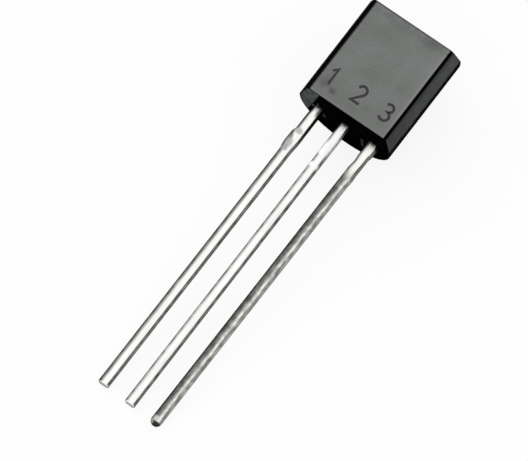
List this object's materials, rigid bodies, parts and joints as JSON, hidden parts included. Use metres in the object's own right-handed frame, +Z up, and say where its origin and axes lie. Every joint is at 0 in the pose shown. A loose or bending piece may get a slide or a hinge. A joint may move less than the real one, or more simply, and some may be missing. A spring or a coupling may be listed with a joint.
{
  "type": "transistor",
  "caption": "Small signal transistor: a D-shaped moulded case with a flat front and a round back, lying on its back with its straight in-line leads reaching to the ground.",
  "frame": {"origin": "under the middle of the whole part, on the surface it rests on", "axes": "+Y from the lead tips towards the case, +X across the leads from the emitter to the collector, +Z up; the flat front faces up and leans a little towards the lead tips"},
  "size_m": [0.0042, 0.0188, 0.0038],
  "materials": {
    "moulding": "black moulding compound, its flat front ground matt grey",
    "plated_lead": "bright tin plating on a stamped metal lead frame",
    "attach": "silver-filled adhesive",
    "silicon": "polished, opaque",
    "bond_wire": "gold, bright"
  },
  "bodies": {
    "root": {"moulded_case": "moulding", "emitter_lead": "plated_lead", "base_lead": "plated_lead", "collector_lead": "plated_lead", "die_attach": "attach", "silicon_die": "silicon", "emitter_bond_wire": "bond_wire", "base_bond_wire": "bond_wire"}
  },
  "joints": []
}
